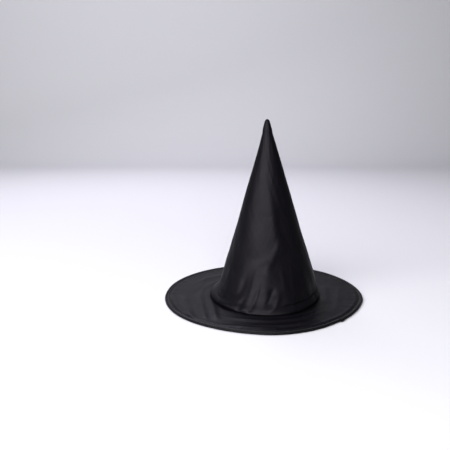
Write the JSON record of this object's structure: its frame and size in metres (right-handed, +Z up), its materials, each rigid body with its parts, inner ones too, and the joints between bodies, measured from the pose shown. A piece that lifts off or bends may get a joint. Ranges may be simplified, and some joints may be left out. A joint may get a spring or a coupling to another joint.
{
  "type": "witch hat",
  "caption": "Plain pointed witch hat: tall soft-tipped cone sewn to a wide flat round brim with a bound, wired edge and an inner sweatband.",
  "frame": {"origin": "centre of the hat's underside, on the surface that it stands on", "axes": "+Z up through the tip; -Y is the wearer's front and +Y the back, where the crown's seam runs; +X to the wearer's left"},
  "size_m": [0.38, 0.38, 0.342],
  "materials": {
    "black_satin": "smooth polyester satin, glossy",
    "binding_tape": "satin bias tape",
    "black_felt": "pressed felt",
    "bonded_lining": "point-bonded non-woven lining",
    "ribbon": "grosgrain ribbon",
    "black_thread": "spun polyester thread",
    "spring_wire": "drawn spring wire",
    "ferrule_brass": "crimped tube"
  },
  "bodies": {
    "root": {"brim_under_panel": "black_satin", "brim_stiffener": "black_felt", "brim_top_panel": "black_satin", "edge_wire": "spring_wire", "wire_ferrule": "ferrule_brass", "edge_binding": "binding_tape", "binding_thread": "black_thread", "sweatband": "ribbon", "sweatband_thread": "black_thread", "brim_seam_thread": "black_thread", "crown_panel_lower": "black_satin", "crown_panel_bend": "black_satin", "crown_stiffener_lower": "bonded_lining", "crown_stiffener_bend": "bonded_lining", "back_thread_lower": "black_thread", "back_thread_bend": "black_thread"},
    "crown_upper": {"crown_panel_upper": "black_satin", "crown_panel_fold": "black_satin", "crown_stiffener_upper": "bonded_lining", "back_thread_upper": "black_thread", "back_thread_fold": "black_thread"},
    "crown_tip": {"crown_panel_tip": "black_satin", "back_thread_tip": "black_thread"}
  },
  "joints": [
    {"name": "crown_bend", "type": "hinge", "parent": "root", "child": "crown_upper", "pos_m": [0, 0, 0.19], "axis": [1, 0, 0], "range_deg": [-60, 60], "stiffness_Nm_per_rad": 0.08, "deforming": ["crown_panel_bend", "crown_stiffener_bend", "back_thread_bend"]},
    {"name": "tip_flop", "type": "hinge", "parent": "crown_upper", "child": "crown_tip", "pos_m": [0, 0, 0.296], "axis": [0, 1, 0], "range_deg": [-70, 70], "stiffness_Nm_per_rad": 0.002, "deforming": ["crown_panel_fold", "back_thread_fold"]}
  ]
}
